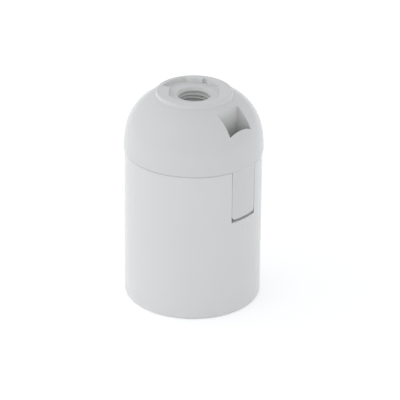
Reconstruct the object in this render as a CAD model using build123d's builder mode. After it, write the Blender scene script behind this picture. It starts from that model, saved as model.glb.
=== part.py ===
from build123d import *
import math
import os

os.makedirs("parts", exist_ok=True)

# Lamp holder for an E27 lamp, standing on its mouth.
# The origin is the middle of the mouth, +Z runs up the axis to the cable entry,
# the two snap tongues of the cap lie on +X and -X, the two terminals on +Y and -Y.

# Lamp socket
thread_major_r = 13.3
thread_depth = 1.05
thread_pitch = 3.629  # seven turns to the inch
thread_bead_r = 1.2  # rounded ridge
thread_lead = 0.2  # from the collar to the first ridge
thread_top_gap = 2.97  # from the last ridge to the insert's seat
entry_step = 0.6  # the collar at the mouth is this much wider in radius than the thread
entry_chamfer = 0.6
entry_depth = 3.6
tube_wall = 1.5
seat_z = 29.0  # top of the threaded tube, where the contact insert sits

# Barrel
tube_gap = 3.4  # between the threaded tube and the skirt
skirt_wall = 1.8
mouth_flare = 0.15  # the mouth is this much wider in radius
mouth_ring = 2.2  # thickness of the ring that closes the double wall
mouth_edge_r = 0.7
land_height = 4.0  # thickened top of the skirt
spigot_height = 2.0
seam_bevel = 0.3  # on the barrel's top outer edge, under the cap's lip
rib_thickness = 1.2
key_rib_turn = 22.0  # angle from the Y axis to the ribs beside a key
side_rib_turn = 50.0  # angle from the Y axis to the other ribs

# Cap
cap_lip = 0.3  # the cap stands out past the barrel by this much
cap_fit = 0.2  # play between cap and spigot
lip_bevel = 0.25  # on the lip's lower outer edge
rim_height = 0.7
side_arc_r = 29.0
side_arc_angle = 11.8
shoulder_arc_r = 14.5
boss_height = 1.09
boss_wall = 3.02
boss_draft = 0.27
boss_edge_r = 0.35
crown_wall = 2.2

# Nut pocket in the top of the boss
pocket_r = 8.15
pocket_depth = 1.2
nut_half = 7.1  # half the distance between the two flats
flat_turn = 40.0  # angle from the tongues to the flats
side_pocket_reach = 1.45  # the side pocket goes this far past the round recess
side_pocket_foot = 2.2  # from the middle to the side pocket's front wall
side_pocket_end = 1.5  # from the middle to where its end wall starts
side_pocket_slant = 30.0
notch_reach = 0.8
notch_width = 1.2
notch_turn = 112.0

# Cable entry, M10 by 1
entry_thread_r = 5.0
entry_thread_chamfer = 0.15
entry_thread_length = 9.5
entry_tube_wall = 2.25
stop_step = 1.2  # the stop below the thread is this much narrower in radius
stop_thickness = 1.2

# Windows over the tongues
window_depth = 5.1
window_half = 4.3
window_wall = 1.3
window_wall_gap = 0.2  # from the foot of the window walls to the seam

# Tongues and their hooks
tongue_thickness = 2.1
tongue_half = 4.7
tongue_length = 15.25
tongue_corner_r = 1.3
tongue_side_gap = 0.11
tongue_end_gap = 0.85
tongue_back_gap = 0.3
hook_half = 2.9
hook_reach = 1.55
hook_end_gap = 1.6  # from the tongue's end to the hook's foot
hook_flat = 1.0
hook_height = 3.1
catch_gap = 0.2
catch_side_gap = 0.3
catch_foot_gap = 0.3
catch_wall = 1.4
catch_wall_foot = 2.02  # how far the catch wall runs past the notch on each side

# Contact insert
insert_play = 1.3  # from the insert to the skirt
insert_land_gap = 0.3  # from the insert to the thickened top of the skirt
insert_side_gap = 0.3  # from the insert's flats to the catch walls
insert_floor = 2.5
insert_wall = 1.4
insert_height = 15.0
insert_cover = 2.0  # from the insert's top to the seam
insert_gap_half = 6.0  # the wall is left out this far on both sides of the X axis
barrier_thickness = 1.4
barrier_drop = 1.0
key_depth = 5.0
key_gap = 0.3
key_side_gap = 0.45
post_r = 0.75
post_turn = 60.0
post_gap = 0.05

# Rivets
rivet_r = 1.0
rivet_head_r = 1.8
rivet_head = 0.6
rivet_bore_r = 0.5
rivet_fit = 0.05
rivet_block_gap = 0.1
rivet_spring_gap = 0.4

# Terminals
strap_thickness = 0.7
strap_inset = 0.5  # the strap's foot is this much narrower than the block, on each side
block_near = 5.6
block_depth = 5.6
block_width = 7.0
block_roof = 3.1
block_edge = 0.3
block_gap = 0.1
block_rib = 1.1
block_rib_height = 7.5
wire_window_side = 0.15  # from the screw's shank to the window's side
wire_window_floor = 1.0
wire_play = 0.6  # room left under the screw when it is run home
plate_side_gap = 0.2
plate_thickness = 0.8
plate_gap = 0.05
screw_r = 1.75
screw_fit = 0.05
screw_pitch = 0.6
screw_turns = 3.5
screw_head_r = 3.0
screw_head_height = 2.0
screw_head_gap = 0.2  # head to block when the screw is run home
screw_slot_width = 0.9
screw_slot_depth = 1.0
pilot_r = 1.0
pilot_step = 0.4
pilot_flange = 0.3

# Contact springs
spring_thickness = 0.4
spring_half = 2.4
spring_bend_play = 0.2  # inner radius of a bend
leg_top_gap = 0.2
leg_play = 0.6  # room for the leg to tilt in its slot
slot_gap = 0.05
slot_side_gap = 0.3
centre_leg_inset = 1.1  # from the thread's major radius to the leg
centre_drop = 2.9
centre_pad = 1.6
centre_tip = 1.6
centre_tip_lift = 0.5
side_leg_inset = 0.7  # from the thread's major radius to the leg
side_straight = 3.5
side_slope = 4.7
side_belly = 0.45
side_belly_height = 1.4
side_tip = 3.6
side_tip_back = 1.05
side_window_play = 0.8
side_window_foot = 1.8

overlap = 0.5  # how far a rib or web runs into the wall that carries it

# Derived radii
entry_r = thread_major_r + entry_step
tube_r = thread_major_r + tube_wall
skirt_r = tube_r + tube_gap
barrel_r = skirt_r + skirt_wall
insert_r = skirt_r - insert_play
land_r = insert_r + insert_land_gap
cap_r = barrel_r + cap_lip
cap_wall = cap_r - skirt_r - cap_fit
tongue_back = barrel_r - tongue_thickness
catch_face = tongue_back - tongue_back_gap
window_near = tongue_back - window_depth
boss_base_r = pocket_r + boss_wall
entry_tube_r = entry_thread_r + entry_tube_wall
stop_r = entry_thread_r - stop_step
notch_half = tongue_half + tongue_side_gap

# Derived heights of barrel and insert
thread_start_z = entry_depth + entry_step + thread_lead + thread_bead_r
thread_length = seat_z - thread_top_gap - thread_bead_r - thread_start_z
floor_z = seat_z + insert_floor
insert_top_z = seat_z + insert_height
seam_z = insert_top_z + insert_cover
spigot_top_z = seam_z + spigot_height
hook_foot_z = seam_z - tongue_length + hook_end_gap
hook_top_z = hook_foot_z + hook_height

# Derived form of the dome
rim_top_z = seam_z + rim_height
shoulder_x = cap_r - side_arc_r + (side_arc_r - shoulder_arc_r) * math.cos(math.radians(side_arc_angle))
shoulder_z = rim_top_z + (side_arc_r - shoulder_arc_r) * math.sin(math.radians(side_arc_angle))
shoulder_end = math.degrees(math.acos((boss_base_r - shoulder_x) / shoulder_arc_r))
boss_top_z = shoulder_z + shoulder_arc_r * math.sin(math.radians(shoulder_end)) + boss_height
pocket_z = boss_top_z - pocket_depth
crown_z = pocket_z - crown_wall
entry_foot_z = pocket_z - entry_thread_length

# Derived places of the terminals
rivet_x = spring_half + rivet_spring_gap + rivet_head_r
rivet_y = block_near - rivet_block_gap - rivet_head_r
strap_half = block_width / 2 - strap_inset
strap_start = rivet_y - rivet_head_r
strap_ear_x = rivet_x + rivet_head_r
strap_ear_y = rivet_y + rivet_head_r
strap_top_z = floor_z + strap_thickness
block_y = block_near + block_depth / 2
screw_travel = screw_pitch * screw_turns
wire_window_width = 2 * (screw_r + wire_window_side)
wire_window_height = 2 * plate_gap + plate_thickness + pilot_flange + screw_travel + wire_play
block_height = wire_window_floor + wire_window_height + block_roof
block_top_z = strap_top_z + block_height
wire_floor_z = strap_top_z + wire_window_floor
wire_top_z = wire_floor_z + wire_window_height
plate_top_z = wire_top_z - plate_gap
head_z = block_top_z + screw_head_gap + screw_travel

# Derived places of the contact springs
leg_top_z = floor_z - leg_top_gap
spring_bend_r = spring_thickness + spring_bend_play
centre_leg_y = thread_major_r - centre_leg_inset
centre_slot_near = centre_leg_y - slot_gap - strap_thickness
centre_slot_far = centre_leg_y + spring_thickness + leg_play
side_leg_y = thread_major_r - side_leg_inset
side_slot_near = side_leg_y - leg_play / 2
side_slot_far = side_leg_y + spring_thickness + slot_gap + strap_thickness
side_belly_z = seat_z - side_straight - side_slope
side_tip_z = side_belly_z - side_belly_height - side_tip

# Barrel: skirt, mouth ring, threaded tube, ribs, catch walls and tongue notches in one moulding
with BuildPart() as barrel:
    with BuildSketch(Plane.XZ):
        with BuildLine():
            Polyline(
                (entry_r + entry_chamfer, 0),
                (barrel_r + mouth_flare, 0),
                (barrel_r, seam_z - seam_bevel),
                (barrel_r - seam_bevel, seam_z),
                (skirt_r, seam_z),
                (skirt_r, spigot_top_z),
                (land_r, spigot_top_z),
                (land_r, seam_z - land_height),
                (skirt_r, seam_z - land_height - skirt_r + land_r),
                (skirt_r, mouth_ring),
                (tube_r, mouth_ring),
                (tube_r, seat_z),
                (thread_major_r, seat_z),
                (thread_major_r, entry_depth + entry_step),
                (entry_r, entry_depth),
                (entry_r, entry_chamfer),
                close=True,
            )
        make_face()
    revolve(axis=Axis.Z)
    mouth_edges = barrel.edges().filter_by(GeomType.CIRCLE).group_by(Axis.Z)[0]
    fillet(mouth_edges.sort_by(SortBy.RADIUS)[-1], mouth_edge_r)
    with BuildSketch(Plane.XY.offset(mouth_ring - overlap)):
        for rib_turn in (side_rib_turn, key_rib_turn, -key_rib_turn, -side_rib_turn):
            with PolarLocations((tube_r + skirt_r) / 2, 2, start_angle=90 + rib_turn):
                Rectangle(skirt_r - tube_r + 2 * overlap, rib_thickness)
    extrude(amount=seat_z - mouth_ring + overlap)
    with BuildSketch(Plane.XY.offset(mouth_ring - overlap)):
        with PolarLocations(catch_face - catch_wall / 2, 2):
            Rectangle(catch_wall, 2 * (notch_half + catch_wall_foot))
    extrude(amount=seam_z - mouth_ring + overlap)
    # Notch for each tongue, open at the top
    notch_depth = barrel_r + mouth_flare - catch_face + overlap
    with BuildSketch(Plane.XY.offset(seam_z - tongue_length - tongue_end_gap)):
        with PolarLocations(catch_face + notch_depth / 2, 2):
            Rectangle(notch_depth, 2 * notch_half)
    extrude(amount=tongue_length + tongue_end_gap + spigot_height, mode=Mode.SUBTRACT)
    # The spigot stops short of the cap's window walls
    spigot_gap_half = window_half + window_wall + tongue_side_gap
    with BuildSketch(Plane.XY.offset(seam_z)):
        with PolarLocations(barrel_r, 2):
            Rectangle(2 * (barrel_r - window_near), 2 * spigot_gap_half)
    extrude(amount=spigot_height, mode=Mode.SUBTRACT)
    # Catch hole for each hook
    with BuildSketch(Plane.XY.offset(hook_foot_z - catch_foot_gap)):
        with PolarLocations(catch_face - catch_wall / 2, 2):
            Rectangle(2 * catch_wall, 2 * (hook_half + catch_side_gap))
    extrude(amount=catch_foot_gap + hook_height + catch_gap, mode=Mode.SUBTRACT)
    # Rounded lamp thread on the tube's inner wall
    with BuildLine() as thread_path:
        Helix(
            thread_pitch,
            thread_length,
            thread_major_r - thread_depth + thread_bead_r,
            center=(0, 0, thread_start_z),
        )
    with BuildSketch(Plane(origin=thread_path.line @ 0, z_dir=thread_path.line % 0)):
        Circle(thread_bead_r)
    sweep(path=thread_path.line, is_frenet=True)
    # Opening in the tube for the side contact
    side_window_z = side_tip_z - side_window_foot
    with BuildSketch(Plane.XY.offset(side_window_z)):
        with Locations((0, -thread_major_r)):
            Rectangle(2 * (spring_half + side_window_play), 2 * (tube_wall + overlap))
    extrude(amount=seat_z - side_window_z, mode=Mode.SUBTRACT)
barrel.part.label = "barrel"
export_step(barrel.part, "parts/barrel.step")

# Outer form of the cap's dome and boss, used for the cap and to trim what stands inside it
with BuildPart() as dome:
    with BuildSketch(Plane.XZ):
        with BuildLine():
            rim = Line((cap_r, seam_z + lip_bevel), (cap_r, rim_top_z))
            side = JernArc(rim @ 1, (0, 1), side_arc_r, side_arc_angle)
            shoulder = JernArc(side @ 1, side % 1, shoulder_arc_r, shoulder_end - side_arc_angle)
            Polyline(
                shoulder @ 1,
                (boss_base_r - boss_draft, boss_top_z),
                (0, boss_top_z),
                (0, seam_z),
                (cap_r - lip_bevel, seam_z),
                rim @ 0,
            )
        make_face()
    revolve(axis=Axis.Z)
    fillet(dome.edges().filter_by(GeomType.CIRCLE).group_by(Axis.Z)[-1], boss_edge_r)

# Tongue with its hook, on +X
with BuildPart() as tongue:
    with BuildSketch(Plane.XY.offset(seam_z - tongue_length)):
        with Locations((tongue_back, 0)):
            Rectangle(cap_r, 2 * tongue_half, align=(Align.MIN, Align.CENTER))
        Circle(barrel_r, mode=Mode.INTERSECT)
    extrude(amount=tongue_length + rim_height)
    fillet(tongue.edges().filter_by(Axis.X).group_by(Axis.Z)[0], tongue_corner_r)
    with BuildSketch(Plane.XZ):
        Polygon(
            (tongue_back + overlap, hook_foot_z),
            (tongue_back, hook_foot_z),
            (tongue_back - hook_reach, hook_top_z - hook_flat),
            (tongue_back - hook_reach, hook_top_z),
            (tongue_back + overlap, hook_top_z),
            align=None,
        )
    extrude(amount=hook_half, both=True)

# Inside of the cap: entry tube, window walls and the posts that hold the insert down
with BuildPart() as cap_inside:
    with BuildSketch(Plane.XY.offset(entry_foot_z - stop_thickness)):
        Circle(entry_tube_r)
    extrude(amount=crown_z - entry_foot_z + stop_thickness + overlap)
    with BuildSketch(Plane.XY.offset(seam_z + window_wall_gap)):
        with PolarLocations(tongue_back - window_depth / 2, 2):
            Rectangle(window_depth + 2 * window_wall, 2 * (window_half + window_wall))
    extrude(amount=boss_top_z - seam_z)
    with BuildSketch(Plane.XY.offset(insert_top_z + post_gap)):
        for post_angle in (post_turn, 180 - post_turn):
            with PolarLocations(insert_r - insert_wall / 2, 2, start_angle=post_angle):
                Circle(post_r)
    extrude(amount=boss_top_z - insert_top_z)
    add(dome.part, mode=Mode.INTERSECT)

# Cap
with BuildPart() as cap:
    add(dome.part)
    with BuildSketch(Plane.XZ):
        with BuildLine():
            inner_rim = Line((cap_r - cap_wall, seam_z), (cap_r - cap_wall, rim_top_z))
            inner_side = JernArc(inner_rim @ 1, (0, 1), side_arc_r - cap_wall, side_arc_angle)
            inner_shoulder = JernArc(
                inner_side @ 1, inner_side % 1, shoulder_arc_r - cap_wall, 90 - side_arc_angle
            )
            Polyline(inner_shoulder @ 1, (0, (inner_shoulder @ 1).Y), (0, seam_z), inner_rim @ 0)
        make_face()
        with Locations((0, seam_z)):
            Rectangle(cap_r, crown_z - seam_z, align=(Align.MIN, Align.MIN), mode=Mode.INTERSECT)
    revolve(axis=Axis.Z, mode=Mode.SUBTRACT)
    add(cap_inside.part)
    # Windows, cut straight down through the dome
    with BuildSketch(Plane.XY.offset(seam_z)):
        with PolarLocations(tongue_back - window_depth / 2, 2):
            Rectangle(window_depth, 2 * window_half)
    extrude(amount=boss_top_z - seam_z, mode=Mode.SUBTRACT)
    # Threaded entry with the stop for the tube below it
    with BuildSketch(Plane.XZ):
        with BuildLine():
            Polyline(
                (0, entry_foot_z - 2 * stop_thickness),
                (stop_r, entry_foot_z - 2 * stop_thickness),
                (stop_r, entry_foot_z),
                (entry_thread_r, entry_foot_z),
                (entry_thread_r, pocket_z - entry_thread_chamfer),
                (entry_thread_r + entry_thread_chamfer, pocket_z),
                (entry_thread_r + entry_thread_chamfer, boss_top_z),
                (0, boss_top_z),
                close=True,
            )
        make_face()
    revolve(axis=Axis.Z, mode=Mode.SUBTRACT)
    # Pocket for a hexagon nut: a round recess with two flats
    with BuildSketch(Plane.XY.offset(pocket_z).rotated((0, 0, flat_turn))):
        Circle(pocket_r)
        with PolarLocations(nut_half, 2):
            Rectangle(pocket_r, 2 * pocket_r, align=(Align.MIN, Align.CENTER), mode=Mode.SUBTRACT)
    extrude(amount=pocket_depth, mode=Mode.SUBTRACT)
    # Side pocket behind one flat, with a slanted end wall
    side_pocket_r = pocket_r + side_pocket_reach
    end_y = math.sqrt(pocket_r**2 - side_pocket_end**2)
    end_x = -side_pocket_end - side_pocket_r * math.cos(math.radians(side_pocket_slant))
    end_top_y = end_y + side_pocket_r * math.sin(math.radians(side_pocket_slant))
    with BuildSketch(Plane.XY.offset(pocket_z).rotated((0, 0, flat_turn))):
        Circle(side_pocket_r)
        Polygon(
            (-2 * side_pocket_r, side_pocket_foot),
            (0, side_pocket_foot),
            (-side_pocket_end, end_y),
            (end_x, end_top_y),
            (-2 * side_pocket_r, end_top_y),
            align=None,
            mode=Mode.INTERSECT,
        )
    extrude(amount=pocket_depth, mode=Mode.SUBTRACT)
    # Notch in the recess's wall
    with BuildSketch(Plane.XY.offset(pocket_z)):
        with PolarLocations(pocket_r, 1, start_angle=notch_turn):
            Rectangle(2 * notch_reach, notch_width)
    extrude(amount=pocket_depth, mode=Mode.SUBTRACT)
    add(tongue.part)
    add(tongue.part, rotation=(0, 0, 180))
cap.part.label = "cap"
export_step(cap.part, "parts/cap.step")

# Contact insert: floor, two terminal bays, the barrier between them and two keys
with BuildPart() as contact_insert:
    insert_flat = catch_face - catch_wall - insert_side_gap
    with BuildSketch(Plane.XY.offset(seat_z)):
        Circle(insert_r)
        Rectangle(2 * insert_flat, 2 * insert_r, mode=Mode.INTERSECT)
    extrude(amount=insert_floor)
    with BuildSketch(Plane.XY.offset(floor_z)):
        Circle(insert_r)
        Circle(insert_r - insert_wall, mode=Mode.SUBTRACT)
        Rectangle(2 * insert_r, 2 * insert_gap_half, mode=Mode.SUBTRACT)
    extrude(amount=insert_height - insert_floor)
    with BuildSketch(Plane.XY.offset(floor_z)):
        Rectangle(2 * insert_flat, barrier_thickness)
    extrude(amount=insert_height - insert_floor - barrier_drop)
    # Side ribs that keep each terminal block from turning
    rib_length = insert_r - block_near - insert_wall
    with BuildSketch(Plane.XY.offset(floor_z)):
        for side_sign in (1, -1):
            with Locations((0, side_sign * (block_near + rib_length / 2))):
                with GridLocations(block_width + 2 * block_gap + block_rib, 0, 2, 1):
                    Rectangle(block_rib, rib_length)
    extrude(amount=block_rib_height)
    # Keys between the barrel's ribs, so that a lamp can't turn the insert
    key_near = tube_r + key_gap
    key_angle = math.radians(key_rib_turn)
    key_half = key_near * math.tan(key_angle) - rib_thickness / 2 / math.cos(key_angle) - key_side_gap
    with BuildSketch(Plane.XY.offset(seat_z - key_depth)):
        with GridLocations(0, insert_r + key_near, 1, 2):
            Rectangle(2 * key_half, insert_r - key_near)
        Circle(insert_r, mode=Mode.INTERSECT)
    extrude(amount=key_depth)
    # Slots for the contact springs and rivet holes
    slot_width = 2 * (spring_half + slot_side_gap)
    with BuildSketch(Plane.XY.offset(seat_z)):
        with Locations((0, (centre_slot_near + centre_slot_far) / 2)):
            Rectangle(slot_width, centre_slot_far - centre_slot_near + 2 * slot_gap)
        with Locations((0, -(side_slot_near + side_slot_far) / 2)):
            Rectangle(slot_width, side_slot_far - side_slot_near + 2 * slot_gap)
        with Locations((rivet_x, rivet_y), (-rivet_x, -rivet_y)):
            Circle(rivet_r + rivet_fit)
    extrude(amount=insert_floor, mode=Mode.SUBTRACT)
contact_insert.part.label = "contact_insert"
export_step(contact_insert.part, "parts/contact_insert.step")

# Live strap: foot under the terminal block, ear for the rivet, lug down beside the spring's leg
with BuildPart() as live_strap:
    with BuildSketch(Plane.XY.offset(floor_z)):
        Polygon(
            (-strap_half, strap_start),
            (strap_ear_x, strap_start),
            (strap_ear_x, strap_ear_y),
            (strap_half, strap_ear_y),
            (strap_half, centre_leg_y - slot_gap),
            (-strap_half, centre_leg_y - slot_gap),
            align=None,
        )
        with Locations((rivet_x, rivet_y)):
            Circle(rivet_r + rivet_fit, mode=Mode.SUBTRACT)
    extrude(amount=strap_thickness)
    with BuildSketch(Plane.XY.offset(seat_z)):
        with Locations((0, centre_slot_near)):
            Rectangle(2 * spring_half, strap_thickness, align=(Align.CENTER, Align.MIN))
    extrude(amount=insert_floor)
live_strap.part.label = "live_strap"
export_step(live_strap.part, "parts/live_strap.step")

# Neutral strap: as the live one, but its lug lies outside the spring's leg
with BuildPart() as neutral_strap:
    with BuildSketch(Plane.XY.offset(floor_z)):
        Polygon(
            (strap_half, -strap_start),
            (-strap_ear_x, -strap_start),
            (-strap_ear_x, -strap_ear_y),
            (-strap_half, -strap_ear_y),
            (-strap_half, -side_slot_far),
            (strap_half, -side_slot_far),
            align=None,
        )
        with Locations((-rivet_x, -rivet_y)):
            Circle(rivet_r + rivet_fit, mode=Mode.SUBTRACT)
    extrude(amount=strap_thickness)
    with BuildSketch(Plane.XY.offset(seat_z)):
        with Locations((0, -side_slot_far)):
            Rectangle(2 * spring_half, strap_thickness, align=(Align.CENTER, Align.MIN))
    extrude(amount=insert_floor)
neutral_strap.part.label = "neutral_strap"
export_step(neutral_strap.part, "parts/neutral_strap.step")

# Tubular rivet that holds the live strap to the insert
with BuildPart() as live_rivet:
    with BuildSketch(Plane.XY.offset(seat_z - rivet_head)):
        with Locations((rivet_x, rivet_y)):
            Circle(rivet_head_r)
    extrude(amount=rivet_head)
    with BuildSketch(Plane.XY.offset(seat_z)):
        with Locations((rivet_x, rivet_y)):
            Circle(rivet_r)
    extrude(amount=insert_floor + strap_thickness)
    with BuildSketch(Plane.XY.offset(strap_top_z)):
        with Locations((rivet_x, rivet_y)):
            Circle(rivet_head_r)
    extrude(amount=rivet_head)
    fillet(live_rivet.edges().group_by(Axis.Z)[0], rivet_head / 2)
    with BuildSketch(Plane.XY.offset(seat_z - rivet_head)):
        with Locations((rivet_x, rivet_y)):
            Circle(rivet_bore_r)
    extrude(amount=2 * rivet_head + insert_floor + strap_thickness, mode=Mode.SUBTRACT)
live_rivet.part.label = "live_rivet"
export_step(live_rivet.part, "parts/live_rivet.step")

# The neutral strap's rivet is the same piece
with BuildPart() as neutral_rivet:
    add(live_rivet.part, rotation=(0, 0, 180))
neutral_rivet.part.label = "neutral_rivet"
export_step(neutral_rivet.part, "parts/neutral_rivet.step")

# Live terminal block with its wire window and screw hole
with BuildPart() as live_terminal:
    with BuildSketch(Plane.XY.offset(strap_top_z)):
        with Locations((0, block_y)):
            Rectangle(block_width, block_depth)
    extrude(amount=block_height)
    chamfer(live_terminal.edges().filter_by(Axis.Z), block_edge)
    chamfer(live_terminal.edges().group_by(Axis.Z)[-1], block_edge)
    with BuildSketch(Plane.XZ.offset(-block_near)):
        with Locations((0, wire_floor_z)):
            Rectangle(
                wire_window_width, wire_window_height, align=(Align.CENTER, Align.MIN)
            )
    extrude(amount=-block_depth, mode=Mode.SUBTRACT)
    with BuildSketch(Plane.XY.offset(wire_top_z)):
        with Locations((0, block_y)):
            Circle(screw_r + screw_fit)
    extrude(amount=block_roof, mode=Mode.SUBTRACT)
live_terminal.part.label = "live_terminal"
export_step(live_terminal.part, "parts/live_terminal.step")

with BuildPart() as neutral_terminal:
    add(live_terminal.part, rotation=(0, 0, 180))
neutral_terminal.part.label = "neutral_terminal"
export_step(neutral_terminal.part, "parts/neutral_terminal.step")

# Pressure plate that the live screw pushes down on the wire
with BuildPart() as live_clamp_plate:
    with BuildSketch(Plane.XY.offset(plate_top_z - plate_thickness)):
        with Locations((0, block_y)):
            Rectangle(wire_window_width - 2 * plate_side_gap, block_depth)
            Circle(pilot_r + screw_fit, mode=Mode.SUBTRACT)
    extrude(amount=plate_thickness)
live_clamp_plate.part.label = "live_clamp_plate"
export_step(live_clamp_plate.part, "parts/live_clamp_plate.step")

with BuildPart() as neutral_clamp_plate:
    add(live_clamp_plate.part, rotation=(0, 0, 180))
neutral_clamp_plate.part.label = "neutral_clamp_plate"
export_step(neutral_clamp_plate.part, "parts/neutral_clamp_plate.step")

# Live terminal screw: slotted head, shank, pilot through the plate and flange under it
with BuildPart() as live_screw:
    flange_top_z = plate_top_z - plate_thickness - plate_gap
    with BuildSketch(Plane.XY.offset(flange_top_z - pilot_flange)):
        with Locations((0, block_y)):
            Circle(pilot_r + pilot_step)
    extrude(amount=pilot_flange)
    with BuildSketch(Plane.XY.offset(flange_top_z)):
        with Locations((0, block_y)):
            Circle(pilot_r)
    extrude(amount=wire_top_z - flange_top_z)
    with BuildSketch(Plane.XY.offset(wire_top_z)):
        with Locations((0, block_y)):
            Circle(screw_r)
    extrude(amount=head_z - wire_top_z)
    with BuildSketch(Plane.XY.offset(head_z)):
        with Locations((0, block_y)):
            Circle(screw_head_r)
    extrude(amount=screw_head_height)
    fillet(live_screw.edges().group_by(Axis.Z)[-1], block_edge)
    with BuildSketch(Plane.XY.offset(head_z + screw_head_height - screw_slot_depth)):
        with Locations((0, block_y)):
            Rectangle(2 * screw_head_r, screw_slot_width)
    extrude(amount=screw_slot_depth, mode=Mode.SUBTRACT)
live_screw.part.label = "live_screw"
export_step(live_screw.part, "parts/live_screw.step")

with BuildPart() as neutral_screw:
    add(live_screw.part, rotation=(0, 0, 180))
neutral_screw.part.label = "neutral_screw"
export_step(neutral_screw.part, "parts/neutral_screw.step")

# Centre contact: a bronze strip, its leg in the insert's slot, its pad under the lamp's tip
pad_z = seat_z - centre_drop
with BuildPart() as centre_contact:
    with BuildSketch(Plane.YZ):
        with BuildLine():
            FilletPolyline(
                (centre_leg_y, leg_top_z),
                (centre_leg_y, seat_z - spring_thickness),
                (centre_pad, pad_z),
                (-centre_pad, pad_z),
                (-centre_pad - centre_tip, pad_z + centre_tip_lift),
                radius=spring_bend_r,
            )
            offset(amount=spring_thickness, side=Side.LEFT)
        make_face()
    extrude(amount=spring_half, both=True)
centre_contact.part.label = "centre_contact"
export_step(centre_contact.part, "parts/centre_contact.step")

# Side contact: a bronze strip that hangs in the tube's opening and bellies out to the lamp's shell
belly_y = side_leg_y - side_belly
with BuildPart() as side_contact:
    with BuildSketch(Plane.YZ):
        with BuildLine():
            FilletPolyline(
                (-side_leg_y, leg_top_z),
                (-side_leg_y, seat_z - side_straight),
                (-belly_y, side_belly_z),
                (-belly_y, side_belly_z - side_belly_height),
                (-belly_y - side_tip_back, side_tip_z),
                radius=spring_bend_r,
            )
            offset(amount=spring_thickness, side=Side.RIGHT)
        make_face()
    extrude(amount=spring_half, both=True)
side_contact.part.label = "side_contact"
export_step(side_contact.part, "parts/side_contact.step")
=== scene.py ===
import math

import bpy
from mathutils import Matrix, Vector


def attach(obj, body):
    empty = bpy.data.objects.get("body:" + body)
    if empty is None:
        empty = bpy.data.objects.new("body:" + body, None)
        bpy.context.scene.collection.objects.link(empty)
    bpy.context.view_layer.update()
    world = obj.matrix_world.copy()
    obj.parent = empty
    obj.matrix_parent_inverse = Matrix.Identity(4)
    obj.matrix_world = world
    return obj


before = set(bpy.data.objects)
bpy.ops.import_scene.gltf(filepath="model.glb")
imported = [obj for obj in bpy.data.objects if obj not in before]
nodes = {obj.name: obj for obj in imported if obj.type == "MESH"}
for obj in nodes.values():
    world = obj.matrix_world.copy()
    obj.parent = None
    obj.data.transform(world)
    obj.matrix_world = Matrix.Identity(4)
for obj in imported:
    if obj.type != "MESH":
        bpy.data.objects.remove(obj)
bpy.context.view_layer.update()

scene = bpy.context.scene
collection = scene.collection
MM = 0.001


# Node helpers

def material(name, colour, roughness, metallic=0.0):
    """A new material: returns it, its nodes, its links and its shader."""
    made = bpy.data.materials.new(name)
    made.use_nodes = True
    tree = made.node_tree
    shader = tree.nodes["Principled BSDF"]
    shader.inputs["Base Color"].default_value = (*colour, 1.0)
    shader.inputs["Roughness"].default_value = roughness
    shader.inputs["Metallic"].default_value = metallic
    return made, tree.nodes, tree.links, shader


def arithmetic(made_nodes, links, operation, first, second):
    """One Math node; each side is a number or another node's output."""
    node = made_nodes.new("ShaderNodeMath")
    node.operation = operation
    for socket, value in zip(node.inputs, (first, second)):
        if isinstance(value, float):
            socket.default_value = value
        else:
            links.new(value, socket)
    return node.outputs["Value"]


def seen_by(made_nodes, links, *kinds):
    """1 for the kinds of ray named, else 0."""
    path = made_nodes.new("ShaderNodeLightPath")
    found = path.outputs[kinds[0]]
    for kind in kinds[1:]:
        found = arithmetic(made_nodes, links, "MAXIMUM", found, path.outputs[kind])
    return found


def noise(made_nodes, links, coords, scale, detail, seed, stretch=(1.0, 1.0, 1.0)):
    """Noise in metres of the row frame, shifted by a seed."""
    mapping = made_nodes.new("ShaderNodeMapping")
    mapping.inputs["Location"].default_value = (seed, seed * 0.7, seed * 1.3)
    mapping.inputs["Scale"].default_value = stretch
    links.new(coords.outputs["Object"], mapping.inputs["Vector"])
    texture = made_nodes.new("ShaderNodeTexNoise")
    texture.inputs["Scale"].default_value = scale
    texture.inputs["Detail"].default_value = detail
    texture.inputs["Roughness"].default_value = 0.55
    links.new(mapping.outputs["Vector"], texture.inputs["Vector"])
    return texture.outputs["Fac"]


def between(made_nodes, links, factor, low, high):
    """Maps the middle of a noise's values to a range."""
    node = made_nodes.new("ShaderNodeMapRange")
    node.inputs["From Min"].default_value = 0.3
    node.inputs["From Max"].default_value = 0.7
    node.inputs["To Min"].default_value = low
    node.inputs["To Max"].default_value = high
    links.new(factor, node.inputs["Value"])
    return node.outputs["Result"]


def two_tone(made_nodes, links, factor, first, second):
    """Mixes two colours by a noise value."""
    ramp = made_nodes.new("ShaderNodeValToRGB")
    for stop, position, colour in zip(ramp.color_ramp.elements, (0.32, 0.68), (first, second)):
        stop.position = position
        stop.color = (*colour, 1.0)
    links.new(factor, ramp.inputs["Fac"])
    return ramp.outputs["Color"]


def relief(made_nodes, links, shader, height, strength, depth, edge, samples):
    """Fine relief by a noise value, on edges that are softly rounded. Depth is in metres, edge in millimetres."""
    rounded = made_nodes.new("ShaderNodeBevel")
    rounded.samples = samples
    rounded.inputs["Radius"].default_value = edge * MM
    bump = made_nodes.new("ShaderNodeBump")
    bump.inputs["Strength"].default_value = strength
    bump.inputs["Distance"].default_value = depth
    links.new(height, bump.inputs["Height"])
    links.new(rounded.outputs["Normal"], bump.inputs["Normal"])
    links.new(bump.outputs["Normal"], shader.inputs["Normal"])


# Materials

plastic_ior = 1.57
gloss_spread = 0.12  # how much a plastic's roughness varies, as a share of it


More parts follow.
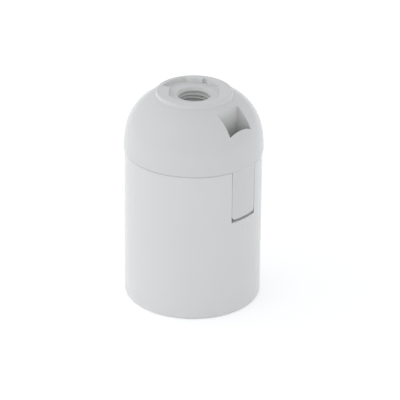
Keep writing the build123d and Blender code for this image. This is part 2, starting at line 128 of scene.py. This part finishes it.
def moulded(name, colour, shade, roughness, seed, edge=0.18, grain=0.000006):
    """Moulded plastic: faint flow marks, satin gloss that varies a little, fine grain and softly rounded edges."""
    made, made_nodes, links, shader = material(name, colour, roughness)
    coords = made_nodes.new("ShaderNodeTexCoord")
    flow = noise(made_nodes, links, coords, scale=55.0, detail=3.0, seed=seed, stretch=(1.0, 1.0, 0.45))
    second = tuple(c * shade for c in colour)
    links.new(two_tone(made_nodes, links, flow, second, colour), shader.inputs["Base Color"])
    gloss = noise(made_nodes, links, coords, scale=160.0, detail=2.0, seed=seed + 3.0)
    smooth, rough = (1 - gloss_spread) * roughness, (1 + gloss_spread) * roughness
    links.new(between(made_nodes, links, gloss, smooth, rough), shader.inputs["Roughness"])
    fine = noise(made_nodes, links, coords, scale=2600.0, detail=2.0, seed=seed + 7.0)
    relief(made_nodes, links, shader, fine, strength=0.35, depth=grain, edge=edge, samples=6)
    shader.inputs["IOR"].default_value = plastic_ior
    return made


def metal(name, colour, shade, roughness, seed, stretch):
    """Rolled or turned metal: tone that shifts a little, drawn scratches and a gloss broken by them."""
    made, made_nodes, links, shader = material(name, colour, roughness, metallic=1.0)
    coords = made_nodes.new("ShaderNodeTexCoord")
    tarnish = noise(made_nodes, links, coords, scale=260.0, detail=4.0, seed=seed)
    second = tuple(c * s for c, s in zip(colour, shade))
    links.new(two_tone(made_nodes, links, tarnish, second, colour), shader.inputs["Base Color"])
    lines = noise(made_nodes, links, coords, scale=900.0, detail=3.0, seed=seed + 2.0, stretch=stretch)
    smooth, rough = roughness - 0.08, roughness + 0.1
    links.new(between(made_nodes, links, lines, smooth, rough), shader.inputs["Roughness"])
    relief(made_nodes, links, shader, lines, strength=0.3, depth=0.000004, edge=0.08, samples=4)
    return made


white = (0.815, 0.80, 0.787)
cap_painted_shade = 0.95  # painted shade: the cap is made a little darker than the barrel, standing in for the shade on its upward-facing dome
cap_shaded_white = tuple(cap_painted_shade * c for c in white)
barrel_plastic = moulded("barrel_plastic", white, shade=0.98, roughness=0.235, seed=1.0)
cap_plastic = moulded("cap_plastic", cap_shaded_white, shade=0.98, roughness=0.235, seed=4.0)
insert_plastic = moulded(
    "insert_plastic", (0.70, 0.68, 0.62), shade=0.95, roughness=0.55, seed=9.0, edge=0.1, grain=0.00001
)
brass = metal(
    "brass", (0.80, 0.62, 0.32), shade=(0.86, 0.82, 0.74), roughness=0.3, seed=2.0, stretch=(0.12, 1.0, 1.0)
)
bronze = metal(
    "bronze", (0.80, 0.52, 0.30), shade=(0.9, 0.85, 0.8), roughness=0.26, seed=5.0, stretch=(1.0, 0.12, 0.12)
)
zinc_steel = metal(
    "zinc_steel", (0.66, 0.68, 0.71), shade=(0.9, 0.9, 0.93), roughness=0.32, seed=8.0, stretch=(1.0, 1.0, 0.15)
)

dress = (
    (barrel_plastic, ("barrel",)),
    (cap_plastic, ("cap",)),
    (insert_plastic, ("contact_insert",)),
    (bronze, ("centre_contact", "side_contact")),
    (brass, ("live_strap", "neutral_strap", "live_rivet", "neutral_rivet", "live_terminal", "neutral_terminal")),
    (zinc_steel, ("live_clamp_plate", "neutral_clamp_plate", "live_screw", "neutral_screw")),
)
for finish, node_names in dress:
    for node_name in node_names:
        mesh = nodes[node_name].data
        mesh.materials.clear()
        mesh.materials.append(finish)


# Fine thread of the cable entry, M10 by 1, in millimetres

pocket_floor = 62.898  # height of the nut recess's floor
hole_r = 5.0
thread_crest_r = 4.46
thread_length = 9.0
lead_depth = 0.95  # the bevel that leads into the thread
lead_edge_r, lead_edge_depth = 4.98, 0.13
lead_heel = 0.3  # how much deeper the bevel's foot lies in the wall
sunk = 0.04  # how far both pieces reach into the wall


def round_points(angle, section):
    """The points of a section of (radius, height) pairs, turned about Z by an angle."""
    return [(radius * math.cos(angle), radius * math.sin(angle), z) for radius, z in section]


def mesh_piece(name, points, faces, finish):
    """A smooth-shaded mesh object from points in millimetres."""
    mesh = bpy.data.meshes.new(name)
    mesh.from_pydata([tuple(c * MM for c in p) for p in points], [], faces)
    mesh.polygons.foreach_set("use_smooth", [True] * len(faces))
    mesh.set_sharp_from_angle(angle=math.radians(20))
    mesh.update()
    mesh.materials.append(finish)
    made = bpy.data.objects.new(name, mesh)
    collection.objects.link(made)
    return made


def band(first, second, size):
    """The faces between two sections, given by the number of each one's first point."""
    following = [(k + 1) % size for k in range(size)]
    return [(first + k, second + k, second + n, first + n) for k, n in enumerate(following)]


def inner_thread(name, root_r, crest_r, pitch, low, high, root_half, crest_half, finish, steps=72):
    """A ridge that winds up the inner wall of a hole, tapered out at both ends, as one closed mesh."""
    turns = (high - low - 2 * root_half) / pitch
    count = int(turns * steps)
    taper_steps = steps / 4
    size = 4  # points in a section
    points = []
    for i in range(count + 1):
        middle = low + root_half + pitch * i / steps
        grown = min(1.0, i / taper_steps, (count - i) / taper_steps)
        r = root_r + (crest_r - root_r) * grown
        section = (
            (root_r + sunk, middle + root_half),
            (r, middle + crest_half),
            (r, middle - crest_half),
            (root_r + sunk, middle - root_half),
        )
        points += round_points(2 * math.pi * i / steps, section)
    faces = []
    for i in range(count):
        faces += band(size * i, size * (i + 1), size)
    last = size * count
    faces.append(tuple(range(size)))
    faces.append(tuple(reversed(range(last, last + size))))
    return mesh_piece(name, points, faces, finish)


def ring(name, section, finish, steps=96):
    """A closed ring about Z from a section of (radius, height) points, in turn from its upper outer corner inwards."""
    points, faces = [], []
    size = len(section)
    for i in range(steps):
        points += round_points(2 * math.pi * i / steps, section)
        faces += band(size * i, size * ((i + 1) % steps), size)
    return mesh_piece(name, points, faces, finish)


entry_thread = inner_thread(
    "entry_thread",
    hole_r,
    thread_crest_r,
    pitch=1.0,
    low=pocket_floor - thread_length,
    high=pocket_floor - lead_depth,
    root_half=0.44,
    crest_half=0.09,
    finish=cap_plastic,
)
entry_lead = ring(
    "entry_lead",
    (
        (hole_r + sunk, pocket_floor - lead_edge_depth),
        (lead_edge_r, pocket_floor - lead_edge_depth),
        (thread_crest_r, pocket_floor - lead_depth),
        (hole_r + sunk, pocket_floor - lead_depth - lead_heel),
    ),
    cap_plastic,
)
for piece in (entry_thread, entry_lead):
    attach(piece, "housing")


# The photo's camera

picture_px = 400
focal_px = 2216.8
target_px = (193.17, 196.63)  # where the target lies in the photo
target = Vector((0.0, 0.0, 30.0)) * MM
distance = 0.65
view_azimuth, view_elevation, view_roll = math.radians(42.5), math.radians(26.54), math.radians(0.616)
back = Vector(
    (
        math.sin(view_azimuth) * math.cos(view_elevation),
        -math.cos(view_azimuth) * math.cos(view_elevation),
        math.sin(view_elevation),
    )
)
right = Vector((math.cos(view_azimuth), math.sin(view_azimuth), 0.0))
up = back.cross(right)
rolled_right = math.cos(view_roll) * right + math.sin(view_roll) * up
rolled_up = math.cos(view_roll) * up - math.sin(view_roll) * right
aside = rolled_right * (picture_px / 2 - target_px[0]) / focal_px
above = rolled_up * (target_px[1] - picture_px / 2) / focal_px
forward = (-back + aside + above).normalized()
aim_right = (rolled_right - forward * rolled_right.dot(forward)).normalized()
aim_up = aim_right.cross(forward)

camera_data = bpy.data.cameras.new("photo_camera")
camera_data.sensor_width = 36.0
camera_data.lens = focal_px * camera_data.sensor_width / picture_px
camera_data.clip_start = 0.05
camera_data.clip_end = 20.0
camera = bpy.data.objects.new("photo_camera", camera_data)
collection.objects.link(camera)
camera.location = target + back * distance
camera.rotation_mode = "QUATERNION"
camera.rotation_quaternion = Matrix((aim_right, aim_up, -forward)).transposed().to_quaternion()
scene.camera = camera
scene.view_settings.view_transform = "Standard"


# The room's light: a plain level, with more of it from low down and from the left

sky_level = 0.56
low_level = 0.67
left_level = 0.62
light_colour = (0.967, 1.0, 1.03)
mirrored_level = 0.7  # what glossy surfaces mirror of the room

world = bpy.data.worlds.new("studio")
scene.world = world
world.use_nodes = True
world_nodes, world_links = world.node_tree.nodes, world.node_tree.links
world_nodes.clear()
direction = world_nodes.new("ShaderNodeTexCoord")


def world_math(operation, first, second):
    """One Math node of the world."""
    return arithmetic(world_nodes, world_links, operation, first, second)


def towards(way):
    """How far the world's direction points a given way, 0 to 1."""
    node = world_nodes.new("ShaderNodeVectorMath")
    node.operation = "DOT_PRODUCT"
    node.inputs[1].default_value = way
    world_links.new(direction.outputs["Generated"], node.inputs[0])
    return world_math("MAXIMUM", node.outputs["Value"], 0.0)


def background(colour, strength):
    """One Background node of the world."""
    node = world_nodes.new("ShaderNodeBackground")
    node.inputs["Color"].default_value = (*colour, 1.0)
    world_links.new(strength, node.inputs["Strength"])
    return node.outputs["Background"]


lowness = world_math("SUBTRACT", 1.0, towards((0.0, 0.0, 1.0)))
low_light = world_math("MULTIPLY", world_math("POWER", lowness, 2.0), low_level)
left_light = world_math("MULTIPLY", world_math("POWER", towards(-right), 2.0), left_level)
room_light = world_math("ADD", world_math("ADD", low_light, sky_level), left_light)
mirrored = seen_by(world_nodes, world_links, "Is Glossy Ray")
looked_through = seen_by(world_nodes, world_links, "Is Camera Ray", "Is Transmission Ray")
dimmed = world_math("MULTIPLY", mirrored, 1.0 - mirrored_level)
plain_white = world_math("SUBTRACT", 1.0, dimmed)
mixed = world_nodes.new("ShaderNodeMixShader")
world_links.new(world_math("MAXIMUM", mirrored, looked_through), mixed.inputs["Fac"])
world_links.new(background(light_colour, room_light), mixed.inputs[1])
world_links.new(background((1.0, 1.0, 1.0), plain_white), mixed.inputs[2])
world_out = world_nodes.new("ShaderNodeOutputWorld")
world_links.new(mixed.outputs["Shader"], world_out.inputs["Surface"])


# The floor, a hair below the mouth's rim, lifted to white where it is looked at or mirrored

floor_r, floor_z = 3.0, -0.00002
floor_steps = 96
floor_lift = 0.4

floor_mesh = bpy.data.meshes.new("floor")
turns = [2 * math.pi * i / floor_steps for i in range(floor_steps)]
rim = [(floor_r * math.cos(turn), floor_r * math.sin(turn), floor_z) for turn in turns]
floor_mesh.from_pydata(rim, [], [tuple(range(floor_steps))])
floor = bpy.data.objects.new("floor", floor_mesh)
collection.objects.link(floor)
paper, paper_nodes, paper_links, paper_shader = material("floor_paper", (0.88, 0.88, 0.88), roughness=0.9)
paper_shader.inputs["Specular IOR Level"].default_value = 0.0
looked_at = seen_by(paper_nodes, paper_links, "Is Camera Ray", "Is Glossy Ray", "Is Transmission Ray")
lift = arithmetic(paper_nodes, paper_links, "MULTIPLY", looked_at, floor_lift)
paper_shader.inputs["Emission Color"].default_value = (1.0, 1.0, 1.0, 1.0)
paper_links.new(lift, paper_shader.inputs["Emission Strength"])
floor_mesh.materials.append(paper)
